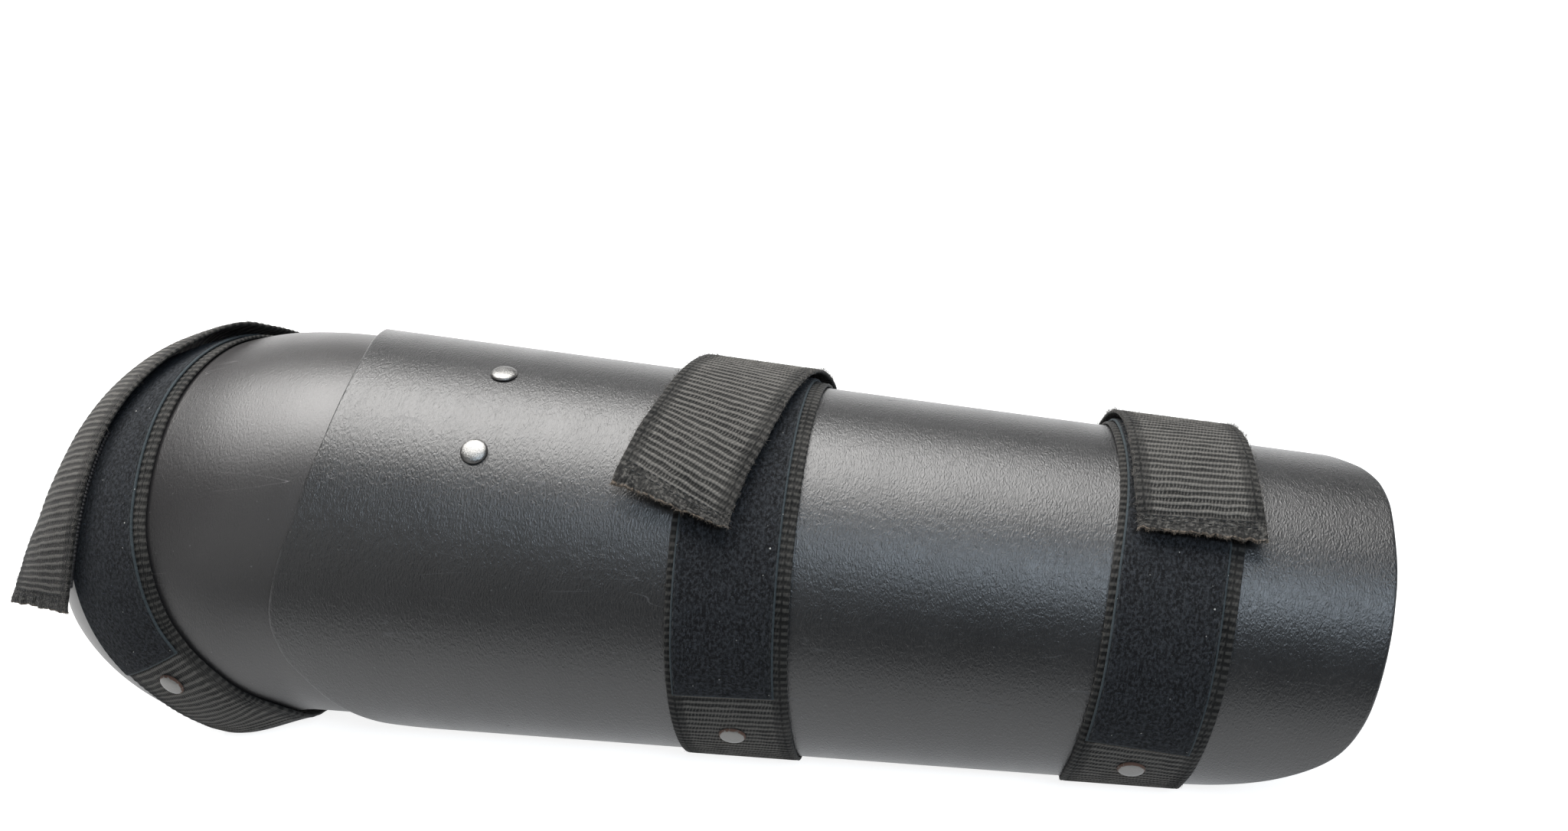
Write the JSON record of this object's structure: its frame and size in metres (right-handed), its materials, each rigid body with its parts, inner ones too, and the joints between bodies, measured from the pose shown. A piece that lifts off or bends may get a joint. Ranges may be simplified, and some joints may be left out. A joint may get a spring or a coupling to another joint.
{
  "type": "shin guard",
  "caption": "Hard-shell knee and shin guard: a grained shin shell riveted over a domed knee shell, foam lined, with webbing straps that wrap behind the leg and close with hook-and-loop.",
  "frame": {"origin": "on the floor plane under the centre of the closed guard's bounding box", "axes": "+X from the knee end to the ankle end, +Z out through the crest of the shell, -Y towards the riveted ends of the straps' backs"},
  "size_m": [0.5943, 0.1972, 0.1456],
  "materials": {
    "shin plastic": "leather-grained, semi-gloss charcoal black",
    "knee plastic": "fine-grained satin charcoal black",
    "foam": "closed-cell foam, matte",
    "webbing": "ribbed woven polypropylene, matte dark grey-brown",
    "loop tape": "napped loop pile, blue-black",
    "hook tape": "black hook tape",
    "nickel": "worn nickel plate"
  },
  "bodies": {
    "guard": {"shin_shell": "shin plastic", "knee_shell": "knee plastic", "shin_pad": "foam", "knee_pad": "foam", "shell_rivet_near": "nickel", "shell_rivet_near_burr": "nickel", "shell_rivet_far": "nickel", "shell_rivet_far_burr": "nickel", "knee_band": "webbing", "knee_loop_tape": "loop tape", "knee_rivet_near": "nickel", "knee_rivet_near_burr": "nickel", "knee_rivet_far": "nickel", "knee_rivet_far_burr": "nickel", "knee_back": "webbing", "calf_band": "webbing", "calf_loop_tape": "loop tape", "calf_rivet_near": "nickel", "calf_rivet_near_burr": "nickel", "calf_rivet_far": "nickel", "calf_rivet_far_burr": "nickel", "calf_back": "webbing", "ankle_band": "webbing", "ankle_loop_tape": "loop tape", "ankle_rivet_near": "nickel", "ankle_rivet_near_burr": "nickel", "ankle_rivet_far": "nickel", "ankle_rivet_far_burr": "nickel", "ankle_back": "webbing"},
    "knee_strap_tail": {"knee_tail": "webbing", "knee_hook_patch": "hook tape"},
    "calf_strap_tail": {"calf_tail": "webbing", "calf_hook_patch": "hook tape"},
    "ankle_strap_tail": {"ankle_tail": "webbing", "ankle_hook_patch": "hook tape"}
  },
  "joints": [
    {"name": "knee_tail_peel", "type": "hinge", "parent": "guard", "child": "knee_strap_tail", "pos_m": [-0.18697, 0.09548, 0.01858], "axis": [-0.9038, -0.0111, -0.4277], "range_deg": [0, 95]},
    {"name": "calf_tail_peel", "type": "hinge", "parent": "guard", "child": "calf_strap_tail", "pos_m": [0.03894, 0.08164, 0.01588], "axis": [-0.9994, 0.0303, -0.0155], "range_deg": [0, 95]},
    {"name": "ankle_tail_peel", "type": "hinge", "parent": "guard", "child": "ankle_strap_tail", "pos_m": [0.20094, 0.07505, 0.01428], "axis": [-0.9994, 0.0323, -0.0106], "range_deg": [0, 95]}
  ]
}
